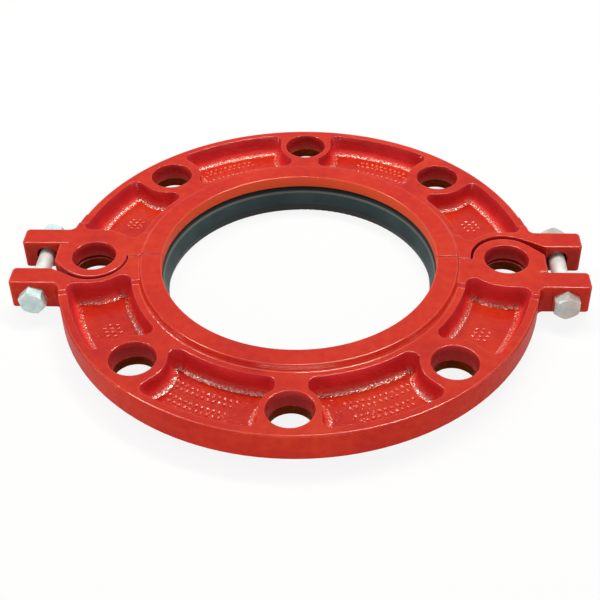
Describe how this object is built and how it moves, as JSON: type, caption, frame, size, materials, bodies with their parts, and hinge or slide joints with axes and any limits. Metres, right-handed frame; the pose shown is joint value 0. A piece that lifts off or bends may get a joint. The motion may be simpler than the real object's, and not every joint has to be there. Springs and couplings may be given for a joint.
{
  "type": "split flange adapter",
  "caption": "Two-piece cast flange adapter that clamps round a grooved pipe end, with lapped bolt holes, draw bolts through paired ears and a rubber gasket in its bore.",
  "frame": {"origin": "on the pipe axis, in the plane of the mating face that meets the other flange; the gasket's lip stands 5.5 mm below it", "axes": "+Z along the pipe, away from the mating face; +X through the right lap and ears; the draw bolts lie along Y with their heads at -Y"},
  "size_m": [0.3326, 0.2794, 0.0247],
  "materials": {
    "red_paint": "gloss red enamel over cast iron",
    "gasket_rubber": "satin moulded rubber, dark grey",
    "zinc_steel": "bright zinc plate"
  },
  "bodies": {
    "front_half": {"front_half_flange": "red_paint", "gasket": "gasket_rubber", "left_draw_bolt": "zinc_steel", "right_draw_bolt": "zinc_steel"},
    "rear_half": {"rear_half_flange": "red_paint"},
    "left_draw_nut": {"left_nut": "zinc_steel"},
    "right_draw_nut": {"right_nut": "zinc_steel"}
  },
  "joints": [
    {"name": "rear_half_slide", "type": "slide", "parent": "front_half", "child": "rear_half", "axis": [0, 1, 0], "range_m": [0, 0.006]},
    {"name": "left_nut_turn", "type": "hinge", "parent": "rear_half", "child": "left_draw_nut", "pos_m": [-0.1524, 0.02575, 0.0073], "axis": [0, 1, 0], "range_deg": [0, 1361]},
    {"name": "right_nut_turn", "type": "hinge", "parent": "rear_half", "child": "right_draw_nut", "pos_m": [0.1524, 0.02575, 0.0073], "axis": [0, 1, 0], "range_deg": [0, 1361]}
  ],
  "couplings": [
    {"joint": "left_nut_turn", "follows": "rear_half_slide", "rad_per_m": 3957.9},
    {"joint": "right_nut_turn", "follows": "rear_half_slide", "rad_per_m": 3957.9}
  ]
}
